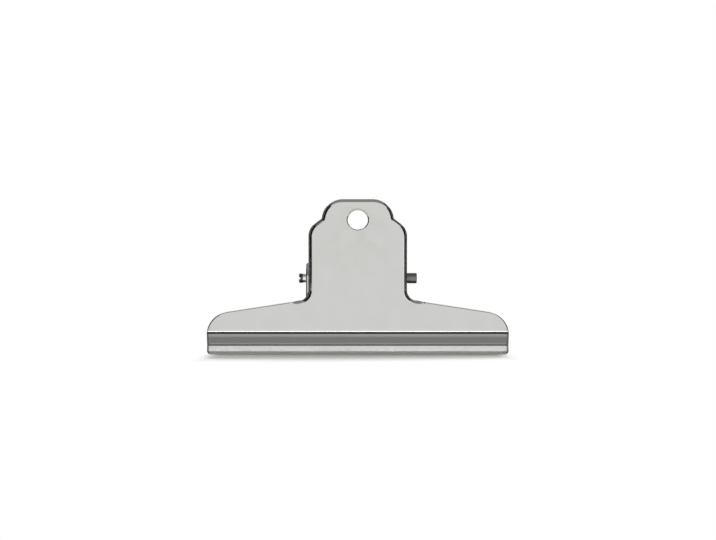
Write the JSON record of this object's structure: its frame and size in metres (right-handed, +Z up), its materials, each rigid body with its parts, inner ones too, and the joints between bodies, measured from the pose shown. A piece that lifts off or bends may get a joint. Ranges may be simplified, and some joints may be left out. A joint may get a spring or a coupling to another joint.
{
  "type": "bulldog clip",
  "caption": "Wide sprung paper clip of bright plated sheet steel: two hinged plates with squeeze tangs and hanging holes, closed along straight lips by a torsion spring on a pivot pin.",
  "frame": {"origin": "centre of the footprint, on the surface that the jaw lips stand on", "axes": "+X along the jaw, +Y from the front plate to the rear plate, +Z up from the lips to the tangs"},
  "size_m": [0.1008, 0.0218, 0.0517],
  "materials": {
    "front_plate": "bright nickel plate over cold-rolled spring steel",
    "rear_plate": "bright nickel plate over cold-rolled spring steel",
    "pivot_pin": "drawn steel wire, bright plated, staked end bare",
    "torsion_spring": "oil-drawn spring wire, dull grey"
  },
  "bodies": {
    "front_jaw": {"front_plate": "front_plate", "torsion_spring": "torsion_spring"},
    "rear_jaw": {"rear_plate": "rear_plate"},
    "pin": {"pivot_pin": "pivot_pin"}
  },
  "joints": [
    {"name": "jaw_hinge", "type": "hinge", "parent": "front_jaw", "child": "rear_jaw", "pos_m": [0, 0, 0.02546], "axis": [1, 0, 0], "range_deg": [0, 36], "stiffness_Nm_per_rad": 0.5, "springref_deg": -28.65, "deforming": ["torsion_spring"]},
    {"name": "pin_spin", "type": "hinge", "parent": "front_jaw", "child": "pin", "pos_m": [0, 0, 0.02546], "axis": [1, 0, 0], "continuous": true}
  ]
}
